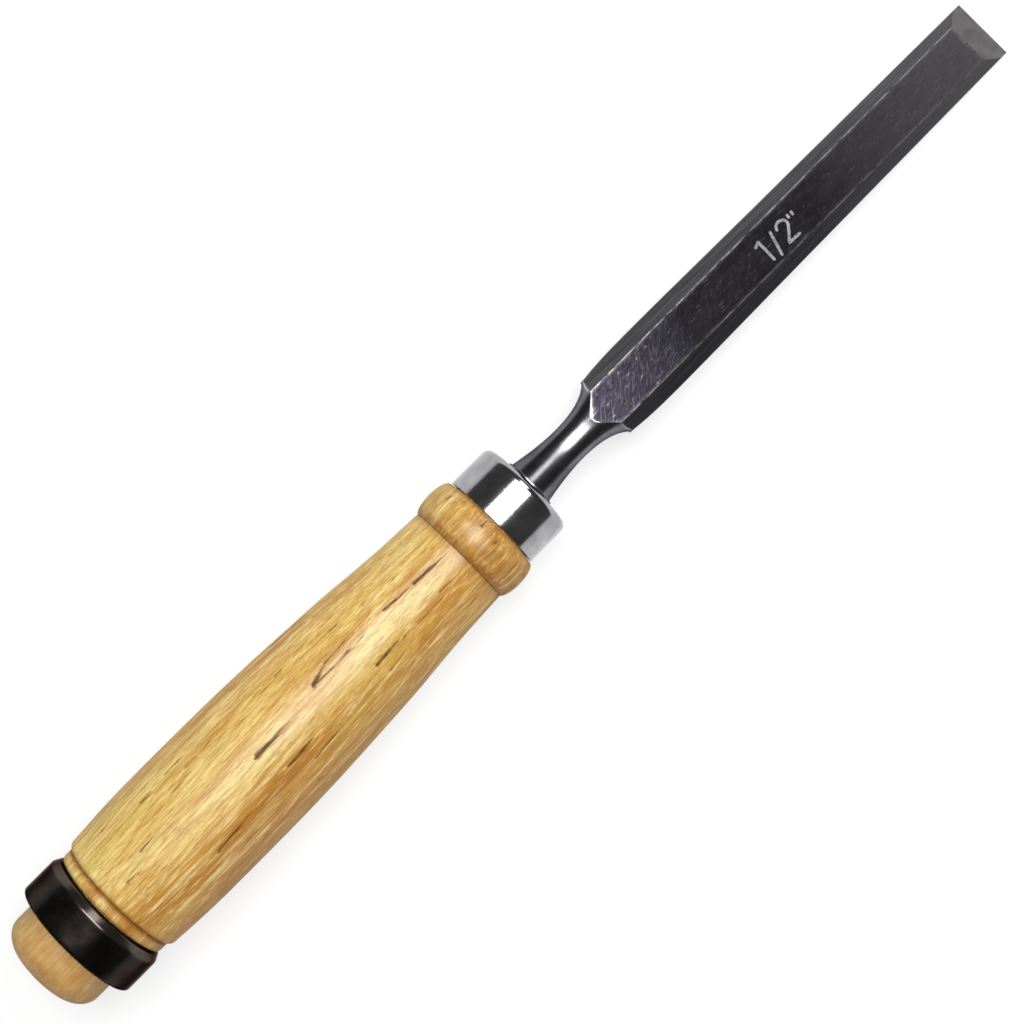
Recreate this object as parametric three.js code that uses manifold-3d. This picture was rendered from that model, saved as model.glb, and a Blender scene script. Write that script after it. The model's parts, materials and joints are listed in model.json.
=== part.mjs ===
// Half-inch bench chisel with a turned hardwood handle. Millimetres, +Z up.
//
// The tool is drawn along its own axis: x runs from the struck end of the handle (0) to the
// cutting edge, y is sideways, and z is up, with the bevelled face of the blade upwards.
// It is then laid down on z = 0, where it rests on the handle's bead and its cutting edge.

import * as THREE from "three";
import { mergeVertices } from "three/addons/utils/BufferGeometryUtils.js";
import Module from "manifold-3d";

const wasm = await Module();
wasm.setup();

// ---- Driving dimensions -------------------------------------------------------------------

const FIT_GAP = 0.3; // clearance between pieces that seat on each other

// Handle: button, hoop seat, collar, groove, body, bead, tenon
const BUTTON_LENGTH = 8.7; // wood that stands out behind the hoop
const BUTTON_FACE_RADIUS = 4.6; // flat part of the struck face
const BUTTON_CORNER_LENGTH = 4.2; // rounded corner, measured along the axis
const COLLAR_WIDTH = 2.0;
const COLLAR_RADIUS = 12.1;
const COLLAR_CHAMFER = 0.5;
const GROOVE_WIDTH = 0.5;
const GROOVE_DEPTH = 0.45;
const BODY_LENGTH = 86.2;
const BODY_REAR_RADIUS = 12.9;
const BODY_REAR_ROUND = 1.2; // length of the rounded rear edge
const BELLY_RADIUS = 13.5; // thickest part, near the rear
const PALM_RADIUS = 13.35; // middle of the body
const GRIP_RADIUS = 12.35;
const FINGER_RADIUS = 11.15;
const WAIST_RADIUS = 10.6; // thin end of the body, behind the bead
const BEAD_WIDTH = 8.2;
const BEAD_BASE_RADIUS = 10.3;
const BEAD_HEIGHT = 1.35;
const TENON_CHAMFER = 0.6;

// Striking hoop on the struck end
const HOOP_WIDTH = 8.5;
const HOOP_OUTER_RADIUS = 13.0;
const HOOP_WALL = 2.6;
const HOOP_CHAMFER_LENGTH = 1.4; // on the edge that faces the blade
const HOOP_CHAMFER_DROP = 0.8;
const HOOP_EDGE_BREAK = 0.35; // small chamfer on the other edge

// Ferrule: a cup with a round hole in its closed end
const FERRULE_LENGTH = 9.4;
const FERRULE_OUTER_RADIUS = 10.2;
const FERRULE_WALL = 1.1;
const FERRULE_CORNER_RADIUS = 1.4;

// Blade forging: tang, boss, lip, neck and blade
const TANG_LENGTH = 60.0;
const TANG_ROOT_WIDTH = 6.0;
const TANG_TIP_WIDTH = 2.5;
const TANG_HOLE_SPARE = 1.0; // depth of the hole past the tip of the tang
const BOSS_STEP = 0.16; // how far the round boss stands out past the corners of the tang
const LIP_OVERHANG = 0.6; // how far the lip covers the ferrule round its hole
const LIP_THICKNESS = 0.5;
const NECK_LENGTH = 20.0;
const NECK_BASE_RADIUS = 4.8;
const NECK_TAPER_REACH = 6.1; // where the slope of the base would meet the thin neck
const NECK_THIN_DISTANCE = 10.1; // from the base to the thinnest place
const NECK_HALF_WIDTH = 3.64; // thinnest place
const FLARE_REACH = 2.7; // where the slope of the shoulder would meet the thin neck
const SHOULDER_HALF_WIDTH = 6.5;
const SHOULDER_HALF_HEIGHT = 4.95; // of the flare, before the flat faces are ground
const BLADE_LENGTH = 101.8; // shoulder to cutting edge
const BULGE_HALF_WIDTH = 7.03; // widest place, just past the shoulder
const BULGE_DISTANCE = 11.5; // from the shoulder to the widest place
const MIDDLE_HALF_WIDTH = 6.72;
const MIDDLE_DISTANCE = 50.0;
const EDGE_HALF_WIDTH = 6.35; // half of the nominal half inch
const BACK_DROP = 3.0; // the flat back, below the axis and level with the thin neck
const SHOULDER_RISE = 3.35; // top face above the axis, at the shoulder
const TIP_THICKNESS = 2.85; // where the top face would meet the edge, were it not ground
const FLAT_HALF_WIDTH_AT_SHOULDER = 4.1; // top face, between the side bevels
const FLAT_HALF_WIDTH_AT_TIP = 4.37;
const SIDE_LAND_AT_TIP = 1.05; // upright side left under each bevel
const CUTTING_ANGLE = THREE.MathUtils.degToRad(29);
const EDGE_LAND = 0.1; // thickness of the cutting edge itself

// Fineness of the curves
const TURNS = 32;
const HALF_SIDE = Math.PI / TURNS; // half the angle that one flat side of a round piece takes
const BODY_STEPS = 16;
const ROUND_STEPS = 6;
const BEAD_STEPS = 10;
const TAPER_STEPS = 6;
const FLARE_STEPS = 10;
const BLADE_SIDE_STEPS = 10;

// ---- Stations along the axis --------------------------------------------------------------

const HOOP_END = BUTTON_LENGTH + HOOP_WIDTH;
const COLLAR_START = HOOP_END + FIT_GAP;
const COLLAR_END = COLLAR_START + COLLAR_WIDTH;
const BODY_START = COLLAR_END + GROOVE_WIDTH;
const BODY_END = BODY_START + BODY_LENGTH;
const BEAD_END = BODY_END + BEAD_WIDTH;
const FERRULE_START = BEAD_END + FIT_GAP;
const FERRULE_END = FERRULE_START + FERRULE_LENGTH;
const FERRULE_FLOOR = FERRULE_END - FERRULE_WALL;
const TENON_END = FERRULE_FLOOR - FIT_GAP;
const LIP_START = FERRULE_END + FIT_GAP;
const NECK_START = LIP_START + LIP_THICKNESS;
const NECK_THIN = NECK_START + NECK_THIN_DISTANCE;
const SHOULDER = NECK_START + NECK_LENGTH;
const TOOL_LENGTH = SHOULDER + BLADE_LENGTH;

const SEAT_RADIUS = HOOP_OUTER_RADIUS - HOOP_WALL - FIT_GAP;
const TENON_RADIUS = FERRULE_OUTER_RADIUS - FERRULE_WALL - FIT_GAP;
const BOSS_RADIUS = TANG_ROOT_WIDTH * Math.SQRT1_2 + BOSS_STEP;
const FERRULE_HOLE_RADIUS = BOSS_RADIUS + FIT_GAP;
const LIP_RADIUS = FERRULE_HOLE_RADIUS + LIP_OVERHANG;
const NECK_HALF_HEIGHT = BACK_DROP;
const TANG_IN_BOSS = 0.5 * FERRULE_WALL; // overlap that joins the tang to the boss
const FLARE_OVERLAP = 2.0; // overlap that joins the flare to the blade
const SHOULDER_THICKNESS = BACK_DROP + SHOULDER_RISE;
const TIP_RISE = TIP_THICKNESS - BACK_DROP;

const UP = new THREE.Vector3(0, 0, 1);
const DOWN = new THREE.Vector3(0, 0, -1);

// ---- Helpers ------------------------------------------------------------------------------

// A point of an outline: distance along the axis, and distance from it.
const at = (x, radius) => new THREE.Vector2(x, radius);

// Quarter of an ellipse between two outline points. It leaves the first one square to the
// axis when rising is true, and along the axis when it is false.
function quarterRound(from, to, rising) {
  const points = [];
  for (let step = 1; step <= ROUND_STEPS; step += 1) {
    const angle = (0.5 * Math.PI * step) / ROUND_STEPS;
    const early = Math.sin(angle);
    const late = 1 - Math.cos(angle);
    const alongShare = rising ? late : early;
    const radialShare = rising ? early : late;
    points.push(at(
      THREE.MathUtils.lerp(from.x, to.x, alongShare),
      THREE.MathUtils.lerp(from.y, to.y, radialShare),
    ));
  }
  return points;
}

// Turns an outline about the tool's axis. One of the flat sides faces straight down, so that
// the tool lies steady.
function turned(outline) {
  const profile = outline.map((point) => new THREE.Vector2(point.y, point.x));
  return new THREE.LatheGeometry(profile, TURNS, HALF_SIDE).rotateZ(-0.5 * Math.PI);
}

function toSolid(geometry) {
  const bare = geometry.clone();
  bare.deleteAttribute("normal");
  bare.deleteAttribute("uv");
  const merged = mergeVertices(bare);
  const corners = merged.index.array;
  const triangles = [];
  for (let i = 0; i < corners.length; i += 3) {
    const [a, b, c] = corners.slice(i, i + 3);
    if (a !== b && b !== c && c !== a) {
      triangles.push(a, b, c);
    }
  }
  return new wasm.Manifold(new wasm.Mesh({
    numProp: 3,
    vertProperties: merged.attributes.position.array,
    triVerts: new Uint32Array(triangles),
  }));
}

function toGeometry(solid) {
  const mesh = solid.getMesh();
  const geometry = new THREE.BufferGeometry();
  geometry.setAttribute("position", new THREE.BufferAttribute(mesh.vertProperties, 3));
  geometry.setIndex(new THREE.BufferAttribute(mesh.triVerts, 1));
  geometry.computeVertexNormals();
  return geometry;
}

// The tang, or with a clearance the hole for it: a four-sided tapered bar. It can run on past
// the tip and the root of the tang with the same taper.
function tangBar(clearance, pastTip, pastRoot) {
  const taper = (TANG_ROOT_WIDTH - TANG_TIP_WIDTH) / TANG_LENGTH;
  const tipWidth = TANG_TIP_WIDTH + 2 * clearance - taper * pastTip;
  const rootWidth = TANG_ROOT_WIDTH + 2 * clearance + taper * pastRoot;
  const length = pastTip + TANG_LENGTH + pastRoot;
  const toCorner = Math.SQRT1_2;
  const quarter = 0.25 * Math.PI;
  return toSolid(
    new THREE.CylinderGeometry(toCorner * rootWidth, toCorner * tipWidth, length, 4, 1, false, quarter)
      .rotateZ(-0.5 * Math.PI)
      .translate(TENON_END + pastRoot - 0.5 * length, 0, 0),
  );
}

// A thick block on one side, up or down, of the plane through three points of the blade.
// It reaches from the thinnest place of the neck to past the cutting edge.
function blockBeyond(side, a, b, c) {
  const length = 1.1 * (TOOL_LENGTH - NECK_THIN);
  const thickness = 4 * SHOULDER_THICKNESS;
  const plane = new THREE.Plane().setFromCoplanarPoints(a, b, c);
  if (plane.normal.dot(side) < 0) {
    plane.negate();
  }
  const middle = new THREE.Vector3(NECK_THIN + 0.5 * length, 0, a.z);
  plane.projectPoint(middle, middle);
  const turn = new THREE.Quaternion().setFromUnitVectors(UP, plane.normal);
  return toSolid(
    new THREE.BoxGeometry(length, 10 * BULGE_HALF_WIDTH, thickness)
      .translate(0, 0, 0.5 * thickness)
      .applyQuaternion(turn)
      .translate(middle.x, middle.y, middle.z),
  );
}

// ---- Handle -------------------------------------------------------------------------------

function bodyOutline() {
  const along = (share) => THREE.MathUtils.lerp(BODY_START, BODY_END, share);
  const rear = at(BODY_START + BODY_REAR_ROUND, BODY_REAR_RADIUS);
  const swell = new THREE.SplineCurve([
    rear,
    at(along(0.16), BELLY_RADIUS),
    at(along(0.45), PALM_RADIUS),
    at(along(0.7), GRIP_RADIUS),
    at(along(0.87), FINGER_RADIUS),
    at(BODY_END, WAIST_RADIUS),
  ]);
  return [
    ...quarterRound(at(BODY_START, COLLAR_RADIUS), rear, true),
    ...swell.getPoints(BODY_STEPS).slice(1),
  ];
}

function beadOutline() {
  const points = [];
  for (let step = 0; step <= BEAD_STEPS; step += 1) {
    const angle = (Math.PI * step) / BEAD_STEPS;
    const x = BODY_END + 0.5 * BEAD_WIDTH * (1 - Math.cos(angle));
    points.push(at(x, BEAD_BASE_RADIUS + BEAD_HEIGHT * Math.sin(angle)));
  }
  return points;
}

function handleOutline() {
  const face = at(0, BUTTON_FACE_RADIUS);
  return [
    at(0, 0),
    face,
    ...quarterRound(face, at(BUTTON_CORNER_LENGTH, SEAT_RADIUS), true),
    at(COLLAR_START, SEAT_RADIUS),
    at(COLLAR_START, COLLAR_RADIUS - COLLAR_CHAMFER),
    at(COLLAR_START + COLLAR_CHAMFER, COLLAR_RADIUS),
    at(COLLAR_END, COLLAR_RADIUS),
    at(COLLAR_END + 0.5 * GROOVE_WIDTH, COLLAR_RADIUS - GROOVE_DEPTH),
    at(BODY_START, COLLAR_RADIUS),
    ...bodyOutline(),
    ...beadOutline(),
    at(BEAD_END, TENON_RADIUS),
    at(TENON_END - TENON_CHAMFER, TENON_RADIUS),
    at(TENON_END, TENON_RADIUS - TENON_CHAMFER),
    at(TENON_END, 0),
  ];
}

function handle() {
  const hole = tangBar(FIT_GAP, TANG_HOLE_SPARE, TANG_HOLE_SPARE);
  return toGeometry(toSolid(turned(handleOutline())).subtract(hole));
}

// ---- Hoop and ferrule ---------------------------------------------------------------------

function strikingHoop() {
  const inner = HOOP_OUTER_RADIUS - HOOP_WALL;
  return turned([
    at(BUTTON_LENGTH, inner),
    at(BUTTON_LENGTH, HOOP_OUTER_RADIUS - HOOP_EDGE_BREAK),
    at(BUTTON_LENGTH + HOOP_EDGE_BREAK, HOOP_OUTER_RADIUS),
    at(HOOP_END - HOOP_CHAMFER_LENGTH, HOOP_OUTER_RADIUS),
    at(HOOP_END, HOOP_OUTER_RADIUS - HOOP_CHAMFER_DROP),
    at(HOOP_END, inner),
    at(BUTTON_LENGTH, inner),
  ]);
}

function ferrule() {
  const inner = FERRULE_OUTER_RADIUS - FERRULE_WALL;
  const cornerStart = at(FERRULE_END - FERRULE_CORNER_RADIUS, FERRULE_OUTER_RADIUS);
  const cornerEnd = at(FERRULE_END, FERRULE_OUTER_RADIUS - FERRULE_CORNER_RADIUS);
  return turned([
    at(FERRULE_START, inner),
    at(FERRULE_START, FERRULE_OUTER_RADIUS),
    cornerStart,
    ...quarterRound(cornerStart, cornerEnd, false),
    at(FERRULE_END, FERRULE_HOLE_RADIUS),
    at(FERRULE_FLOOR, FERRULE_HOLE_RADIUS),
    at(FERRULE_FLOOR, inner),
    at(FERRULE_START, inner),
  ]);
}

// ---- Blade forging ------------------------------------------------------------------------

// Half the width or half the height of the neck: a taper from its round base to its thinnest
// place, and then the flare up to the shoulder.
function neckOutline(thin, shoulder) {
  const thinnest = at(NECK_THIN, thin);
  const taper = new THREE.QuadraticBezierCurve(
    at(NECK_START, NECK_BASE_RADIUS),
    at(NECK_START + NECK_TAPER_REACH, thin),
    thinnest,
  );
  const flare = new THREE.QuadraticBezierCurve(
    thinnest,
    at(SHOULDER - FLARE_REACH, thin),
    at(SHOULDER, shoulder),
  );
  return [...taper.getPoints(TAPER_STEPS), ...flare.getPoints(FLARE_STEPS).slice(1)];
}

// Boss, lip and neck in one turned shape, made less high than wide along the neck.
function neck() {
  const widths = neckOutline(NECK_HALF_WIDTH, SHOULDER_HALF_WIDTH);
  const heights = neckOutline(NECK_HALF_HEIGHT, SHOULDER_HALF_HEIGHT);
  const rootOutline = [
    at(FERRULE_FLOOR, 0),
    at(FERRULE_FLOOR, BOSS_RADIUS),
    at(LIP_START, BOSS_RADIUS),
    at(LIP_START, LIP_RADIUS),
    at(NECK_START, LIP_RADIUS),
  ];
  const insideBlade = [
    at(SHOULDER + FLARE_OVERLAP, SHOULDER_HALF_WIDTH),
    at(SHOULDER + FLARE_OVERLAP, 0),
  ];
  const outline = [...rootOutline, ...widths, ...insideBlade];
  const flatness = widths.map((point, i) => heights[i].y / point.y);
  const shares = [
    ...rootOutline.map(() => 1),
    ...flatness,
    ...insideBlade.map(() => flatness.at(-1)),
  ];
  const geometry = turned(outline);
  const position = geometry.getAttribute("position");
  for (let i = 0; i < position.count; i += 1) {
    position.setZ(i, position.getZ(i) * shares[i % outline.length]);
  }
  return toSolid(geometry);
}

// The blade's outline seen from above, as a plate from its back to above its top face.
function bladePlate() {
  const side = [
    at(SHOULDER + BULGE_DISTANCE, BULGE_HALF_WIDTH),
    at(SHOULDER + MIDDLE_DISTANCE, MIDDLE_HALF_WIDTH),
    at(TOOL_LENGTH, EDGE_HALF_WIDTH),
  ];
  const start = at(SHOULDER, SHOULDER_HALF_WIDTH);
  const otherSide = [start, ...side].reverse().map((point) => at(point.x, -point.y));
  const outline = new THREE.Shape()
    .moveTo(start.x, start.y)
    .splineThru(side)
    .lineTo(otherSide[0].x, otherSide[0].y)
    .splineThru(otherSide.slice(1));
  return toSolid(
    new THREE.ExtrudeGeometry(outline, {
      depth: 1.2 * SHOULDER_THICKNESS,
      curveSegments: BLADE_SIDE_STEPS,
      bevelEnabled: false,
    }).translate(0, 0, -BACK_DROP),
  );
}

function blade() {
  const corner = (x, y, z) => new THREE.Vector3(x, y, z);
  const crestAtShoulder = (side) => corner(SHOULDER, side * FLAT_HALF_WIDTH_AT_SHOULDER, SHOULDER_RISE);
  const crestAtTip = (side) => corner(TOOL_LENGTH, side * FLAT_HALF_WIDTH_AT_TIP, TIP_RISE);
  const landAtTip = (side) => corner(TOOL_LENGTH, side * EDGE_HALF_WIDTH, SIDE_LAND_AT_TIP - BACK_DROP);
  const edge = (side) => corner(TOOL_LENGTH, side * EDGE_HALF_WIDTH, EDGE_LAND - BACK_DROP);
  const bevelHeel = corner(TOOL_LENGTH - 1, 0, EDGE_LAND - BACK_DROP + Math.tan(CUTTING_ANGLE));
  const backPoints = [
    corner(SHOULDER, -1, -BACK_DROP),
    corner(SHOULDER, 1, -BACK_DROP),
    corner(TOOL_LENGTH, 0, -BACK_DROP),
  ];
  const ground = [
    blockBeyond(UP, crestAtShoulder(-1), crestAtShoulder(1), crestAtTip(1)),
    blockBeyond(UP, crestAtShoulder(-1), crestAtTip(-1), landAtTip(-1)),
    blockBeyond(UP, crestAtShoulder(1), crestAtTip(1), landAtTip(1)),
    blockBeyond(UP, edge(-1), edge(1), bevelHeel),
    blockBeyond(DOWN, ...backPoints),
  ];
  const forged = tangBar(0, 0, FIT_GAP + TANG_IN_BOSS).add(neck()).add(bladePlate());
  return toGeometry(ground.reduce((rest, block) => rest.subtract(block), forged));
}

// ---- Assembly -----------------------------------------------------------------------------

function piece(name, geometry, color, roughness, metalness) {
  const mesh = new THREE.Mesh(geometry, new THREE.MeshStandardMaterial({ color, roughness, metalness }));
  mesh.name = name;
  return mesh;
}

// The slope at which a flat surface under the tool meets both the handle and the edge.
function restingTilt() {
  const toFlat = Math.cos(HALF_SIDE);
  const slopes = handleOutline().map(
    (point) => Math.atan2(toFlat * point.y - BACK_DROP, TOOL_LENGTH - point.x),
  );
  return Math.max(...slopes);
}

const tool = new THREE.Group();
tool.add(
  piece("blade", blade(), 0x33343a, 0.45, 0.9),
  piece("ferrule", ferrule(), 0xd6d8da, 0.15, 1),
  piece("handle", handle(), 0xcf9a4c, 0.35, 0),
  piece("striking_hoop", strikingHoop(), 0x17171a, 0.25, 0.9),
);
tool.rotation.y = restingTilt();

// The origin is the middle of the footprint, on the surface that the tool lies on.
const chisel = new THREE.Group();
chisel.add(tool);
const extent = new THREE.Box3().setFromObject(chisel, true);
const middle = extent.getCenter(new THREE.Vector3());
tool.position.set(-middle.x, -middle.y, -extent.min.z);

export default chisel;
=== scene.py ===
"""Looks of a half-inch bench chisel with a turned hardwood handle.

Shapes are written in millimetres in the tool's own frame: x runs from the struck end of the
handle to the cutting edge, y is sideways, and z is up on the bevelled side of the blade.
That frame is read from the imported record's mounts, and the stations along the tool are read
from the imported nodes.
"""

import json
import math

import bmesh
import bpy
import numpy as np
from mathutils import Matrix, Vector


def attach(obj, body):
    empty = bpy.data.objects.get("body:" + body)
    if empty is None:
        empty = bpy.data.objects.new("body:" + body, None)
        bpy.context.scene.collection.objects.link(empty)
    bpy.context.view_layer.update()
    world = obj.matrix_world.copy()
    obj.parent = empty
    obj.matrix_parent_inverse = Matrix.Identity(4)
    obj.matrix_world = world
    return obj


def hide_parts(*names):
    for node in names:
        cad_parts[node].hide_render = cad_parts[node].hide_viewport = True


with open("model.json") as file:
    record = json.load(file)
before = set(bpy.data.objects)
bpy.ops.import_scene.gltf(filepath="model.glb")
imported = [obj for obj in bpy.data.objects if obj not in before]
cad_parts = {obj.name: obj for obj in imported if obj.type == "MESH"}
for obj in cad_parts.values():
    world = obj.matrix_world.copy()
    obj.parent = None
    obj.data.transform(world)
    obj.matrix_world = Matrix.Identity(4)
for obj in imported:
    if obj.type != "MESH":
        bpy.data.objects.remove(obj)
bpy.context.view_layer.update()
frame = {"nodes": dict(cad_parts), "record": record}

MM = 0.001

# ---- The tool's own frame and stations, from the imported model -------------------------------

mounts = {mount["name"]: mount for mount in frame["record"]["mounts"]}
butt = Vector(mounts["striking_face"]["pos_m"])
along = -Vector(mounts["striking_face"]["axis"]).normalized()
upward = -Vector(mounts["blade_back"]["axis"]).normalized()
sideways = upward.cross(along)
TOOL = Matrix.Translation(butt) @ Matrix((along, sideways, upward)).transposed().to_4x4()


def reach(node):
    """Where a CAD node starts and ends along the tool's axis, in millimetres."""
    to_tool = TOOL.inverted()
    stations = [(to_tool @ vertex.co).x / MM for vertex in frame["nodes"][node].data.vertices]
    return min(stations), max(stations)


def in_tool(x, y, z):
    """A point of the tool, given in millimetres, in the row frame in metres."""
    return TOOL @ Vector((x * MM, y * MM, z * MM))


BUTT, TENON_END = reach("handle")
HOOP_START, HOOP_END = reach("striking_hoop")
FERRULE_START, FERRULE_END = reach("ferrule")
TANG_TIP, EDGE = reach("blade")

# ---- Camera and light -----------------------------------------------------------------------

CAMERA_DISTANCE = 399.6  # from the point that it aims at
CAMERA_LENS = 76.6
CAMERA_LEAN = math.radians(0.4)  # off the vertical, towards the struck end
CAMERA_ROLL = math.radians(45.15)
AIM_X, AIM_Y = 118.8, -1.34


def add_camera():
    data = bpy.data.cameras.new("camera")
    data.sensor_width = 36.0
    data.lens = CAMERA_LENS
    data.clip_start = 0.01
    data.clip_end = 50.0
    camera = bpy.data.objects.new("camera", data)
    bpy.context.scene.collection.objects.link(camera)
    back = Vector((-math.sin(CAMERA_LEAN), 0.0, 1.0)).normalized()
    right = Vector((math.cos(CAMERA_ROLL), -math.sin(CAMERA_ROLL), 0.0))
    right = (right - back * right.dot(back)).normalized()
    turn = Matrix((right, back.cross(right), back)).transposed().to_4x4()
    aim = in_tool(AIM_X, AIM_Y, 0.0)
    camera.matrix_world = Matrix.Translation(aim + back * CAMERA_DISTANCE * MM) @ turn
    bpy.context.scene.camera = camera


def add_softbox(name, height, towards_tip, towards_left, length, width, level):
    """A rectangular studio lamp above the tool, leaning the given degrees off the vertical.
    length is along the tool. level is how bright the lamp alone would make a white floor."""
    data = bpy.data.lights.new(name, "AREA")
    data.shape = "RECTANGLE"
    data.size = length
    data.size_y = width
    lamp = bpy.data.objects.new(name, data)
    leaning = (math.tan(math.radians(towards_tip)), math.tan(math.radians(towards_left)), 1.0)
    place = height * Vector(leaning)
    facing = place.normalized()
    crosswise = facing.cross(Vector((1.0, 0.0, 0.0))).normalized()
    turn = Matrix((crosswise.cross(facing), crosswise, facing)).transposed().to_4x4()
    lamp.matrix_world = Matrix.Translation(place) @ turn
    data.energy = level * math.pi**2 * place.length_squared / facing.z
    bpy.context.scene.collection.objects.link(lamp)


def add_world():
    """A dim studio room with a pale band of wall just above the floor's horizon."""
    world = bpy.data.worlds.new("studio")
    world.use_nodes = True
    bpy.context.scene.world = world
    nodes, links = world.node_tree.nodes, world.node_tree.links
    place = nodes.new("ShaderNodeTexCoord")
    height = nodes.new("ShaderNodeSeparateXYZ")
    room = nodes.new("ShaderNodeValToRGB")
    room.color_ramp.interpolation = "EASE"
    stops = [(0.04, 0.90), (0.15, 0.09), (0.40, 0.080)]
    room.color_ramp.elements.new(0.5)
    for stop, (position, level) in zip(room.color_ramp.elements, stops):
        stop.position = position
        stop.color = (level, level, level, 1.0)
    links.new(place.outputs["Generated"], height.inputs[0])
    links.new(height.outputs["Z"], room.inputs["Fac"])
    links.new(room.outputs["Color"], nodes["Background"].inputs["Color"])


FLOOR_HALF = 6.0
FLOOR_WHITE = 0.93
SHADOW_LIFT = 0.7  # share of the floor, as seen directly, that is plain white


def add_floor():
    mesh = bpy.data.meshes.new("floor")
    corners = [(-1, -1), (1, -1), (1, 1), (-1, 1)]
    points = [(FLOOR_HALF * x, FLOOR_HALF * y, 0.0) for x, y in corners]
    mesh.from_pydata(points, [], [(0, 1, 2, 3)])
    floor = bpy.data.objects.new("floor", mesh)
    bpy.context.scene.collection.objects.link(floor)
    material = bpy.data.materials.new("floor_paper")
    material.use_nodes = True
    nodes, links = material.node_tree.nodes, material.node_tree.links
    nodes.remove(nodes["Principled BSDF"])
    paper = nodes.new("ShaderNodeBsdfDiffuse")
    paper.inputs["Color"].default_value = (FLOOR_WHITE, FLOOR_WHITE, FLOOR_WHITE, 1.0)
    glow = nodes.new("ShaderNodeEmission")
    rays = nodes.new("ShaderNodeLightPath")
    mix = nodes.new("ShaderNodeMixShader")
    seen = rays.outputs["Is Camera Ray"]
    for other in ("Is Glossy Ray", "Is Transmission Ray"):
        either = nodes.new("ShaderNodeMath")
        either.operation = "MAXIMUM"
        links.new(seen, either.inputs[0])
        links.new(rays.outputs[other], either.inputs[1])
        seen = either.outputs[0]
    share = nodes.new("ShaderNodeMath")
    share.operation = "MULTIPLY"
    share.inputs[1].default_value = SHADOW_LIFT
    links.new(seen, share.inputs[0])
    links.new(share.outputs[0], mix.inputs[0])
    links.new(paper.outputs[0], mix.inputs[1])
    links.new(glow.outputs[0], mix.inputs[2])
    links.new(mix.outputs[0], nodes["Material Output"].inputs["Surface"])
    mesh.materials.append(material)


# ---- Curves and noise -----------------------------------------------------------------------


def smooth_curve(points, steps):
    """A smooth curve through the points, as the CAD source draws its own."""
    points = np.array(points, float)
    last = len(points) - 1
    place = np.linspace(0, last, steps + 1)
    start = np.minimum(place.astype(int), last - 1)
    t = (place - start)[:, None]
    before, here, there, after = (points[np.clip(start + k, 0, last)] for k in (-1, 0, 1, 2))
    leaving = 0.5 * (there - before)
    arriving = 0.5 * (after - here)
    return (
        (2 * t**3 - 3 * t**2 + 1) * here
        + (t**3 - 2 * t**2 + t) * leaving
        + (3 * t**2 - 2 * t**3) * there
        + (t**3 - t**2) * arriving
    )


def bend(start, control, end, steps):
    """A curve that leaves start towards control and arrives at end from it."""
    t = np.linspace(0, 1, steps + 1)[:, None]
    start, control, end = (np.array(point, float) for point in (start, control, end))
    return (1 - t) ** 2 * start + 2 * t * (1 - t) * control + t**2 * end


def quarter_round(start, end, steps):
    """A quarter of an ellipse that leaves start square to the axis and ends along the axis."""
    angle = np.linspace(0, 0.5 * math.pi, steps + 1)
    x = start[0] + (end[0] - start[0]) * (1 - np.cos(angle))
    radius = start[1] + (end[1] - start[1]) * np.sin(angle)
    return np.stack([x, radius], 1)


def refined(outline, spacing, closed=False):
    """The same outline with points no further apart than spacing."""
    outline = np.array(outline, float)
    ends = np.roll(outline, -1, 0) if closed else outline[1:]
    result = []
    for start, end in zip(outline, ends):
        steps = max(1, math.ceil(np.linalg.norm(end - start) / spacing))
        shares = np.arange(steps)[:, None] / steps
        result.extend(start + shares * (end - start))
    if not closed:
        result.append(outline[-1])
    return np.array(result)


def eased_corners(outline, size, steps=4):
    """A closed outline with each corner rounded over the given distance."""
    outline = np.array(outline, float)
    result = []
    for before, corner, after in zip(np.roll(outline, 1, 0), outline, np.roll(outline, -1, 0)):
        back, ahead = before - corner, after - corner
        back_length, ahead_length = np.linalg.norm(back), np.linalg.norm(ahead)
        start = corner + back * min(size, 0.45 * back_length) / back_length
        end = corner + ahead * min(size, 0.45 * ahead_length) / ahead_length
        result.extend(bend(start, corner, end, steps))
    return np.array(result)


LATTICE = 32


def noise(points, cell, seed):
    """Smooth noise from -1 to 1 at points, with features of the size of cell, in millimetres."""
    table = np.random.default_rng(seed).uniform(-1, 1, (LATTICE, LATTICE, LATTICE))
    place = points / np.array(cell, float)
    corner = np.floor(place).astype(int)
    share = place - corner
    share = share * share * (3 - 2 * share)
    total = np.zeros(points.shape[:-1])
    for i in (0, 1):
        for j in (0, 1):
            for k in (0, 1):
                at = (corner + (i, j, k)) % LATTICE
                weight = np.ones(points.shape[:-1])
                for axis, side in enumerate((i, j, k)):
                    weight *= share[..., axis] if side else 1 - share[..., axis]
                total += weight * table[at[..., 0], at[..., 1], at[..., 2]]
    return total


# ---- Meshes ---------------------------------------------------------------------------------


def rings_about_axis(stations, radii, turns):
    """Rings of points about the tool's axis. radii has one value, or one row, per station."""
    angle = np.arange(turns) * 2 * math.pi / turns
    radii = np.broadcast_to(np.reshape(radii, (len(stations), -1)), (len(stations), turns))
    x = np.broadcast_to(np.reshape(stations, (-1, 1)), radii.shape)
    return np.stack([x, radii * np.cos(angle), radii * np.sin(angle)], 2)


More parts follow.
